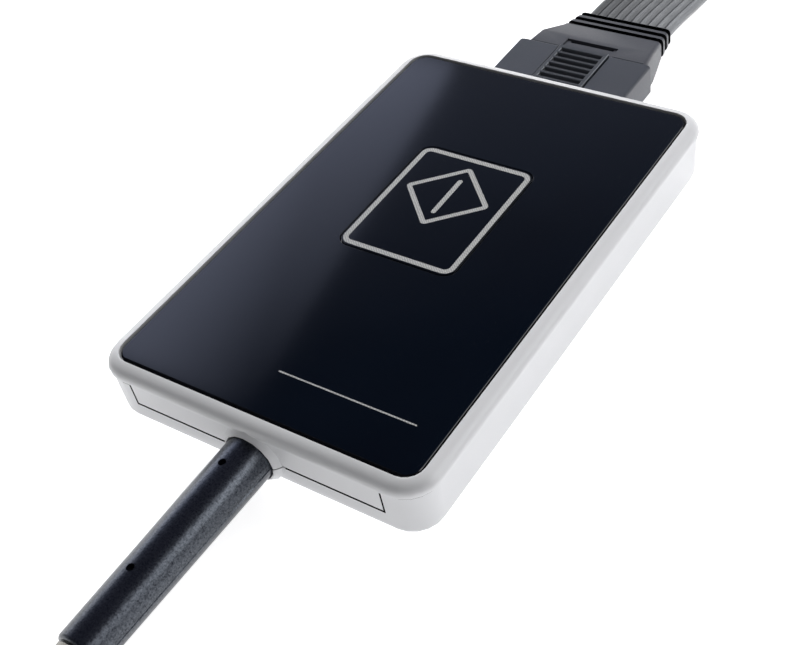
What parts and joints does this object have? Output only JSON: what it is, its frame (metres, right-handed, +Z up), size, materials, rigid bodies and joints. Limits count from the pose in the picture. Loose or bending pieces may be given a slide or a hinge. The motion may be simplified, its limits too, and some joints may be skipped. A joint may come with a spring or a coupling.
{
  "type": "pc-based ecg system",
  "caption": "Palm-sized ECG recorder with a glossy start-key panel, a fixed computer cable and a ribbon patient cable on a latched plug.",
  "frame": {"origin": "on the table, under the middle of the housing", "axes": "+Z up out of the glossy panel, +Y along the housing towards the patient socket, +X to the right"},
  "size_m": [0.0664, 0.4329, 0.0292],
  "materials": {
    "shell_grey": "fine satin moulded plastic",
    "panel_blue_black": "glossy blue-black panel with silver print",
    "sleeve_dark": "spark-textured dark moulding",
    "cable_grey": "matte light grey jacket",
    "plug_slate": "satin slate-grey moulding",
    "rubber_dark": "matte rubber",
    "board_green": "green solder mask",
    "chip_black": "moulded black epoxy",
    "insulator_black": "moulded black insulator",
    "steel": "plated steel",
    "tie_black": "matte black strap"
  },
  "bodies": {
    "recorder": {"upper_shell": "shell_grey", "lower_shell": "shell_grey", "front_panel": "panel_blue_black", "case_screw_1": "steel", "case_screw_2": "steel", "case_screw_3": "steel", "case_screw_4": "steel", "foot_1": "rubber_dark", "foot_2": "rubber_dark", "foot_3": "rubber_dark", "foot_4": "rubber_dark", "circuit_board": "board_green", "start_key_switch": "chip_black", "processor_chip": "chip_black", "converter_chip": "chip_black", "isolation_transformer": "chip_black", "clock_crystal": "steel", "input_filter_can": "steel", "supply_capacitor": "chip_black", "cable_header": "insulator_black", "inner_cable": "cable_grey", "cable_clamp": "insulator_black", "patient_socket_shell": "steel", "patient_socket_insert": "insulator_black", "usb_sleeve": "sleeve_dark", "sleeve_end_collar": "cable_grey", "usb_cable": "cable_grey", "usb_cable_coil": "cable_grey", "usb_cable_tail": "cable_grey", "usb_coil_tie": "tie_black", "usb_plug_body": "cable_grey", "usb_plug_shell": "steel", "usb_plug_tongue": "insulator_black"},
    "start_key": {"start_key": "panel_blue_black"},
    "patient_plug": {"plug_contact_block": "insulator_black", "plug_shroud": "plug_slate", "plug_hood": "plug_slate", "latch_spring": "steel", "ribbon_cable": "plug_slate", "ribbon_roll": "plug_slate", "ribbon_tie": "tie_black", "lead_fan": "plug_slate", "lead_plug_1": "plug_slate", "lead_plug_2": "plug_slate", "lead_plug_3": "plug_slate", "lead_plug_4": "plug_slate", "lead_plug_5": "plug_slate", "lead_plug_6": "plug_slate", "lead_plug_7": "plug_slate", "lead_plug_8": "plug_slate", "lead_plug_9": "plug_slate", "lead_plug_10": "plug_slate"},
    "latch_slider": {"latch_slider": "plug_slate"}
  },
  "joints": [
    {"name": "start_key_press", "type": "slide", "parent": "recorder", "child": "start_key", "axis": [0, 0, -1], "range_m": [0, 0.0003], "stiffness_N_per_m": 3000},
    {"name": "patient_plug_unmating", "type": "slide", "parent": "recorder", "child": "patient_plug", "axis": [0, 1, 0], "range_m": [0, 0.009]},
    {"name": "latch_slide", "type": "slide", "parent": "patient_plug", "child": "latch_slider", "axis": [0, 1, 0], "range_m": [0, 0.002], "stiffness_N_per_m": 800}
  ]
}
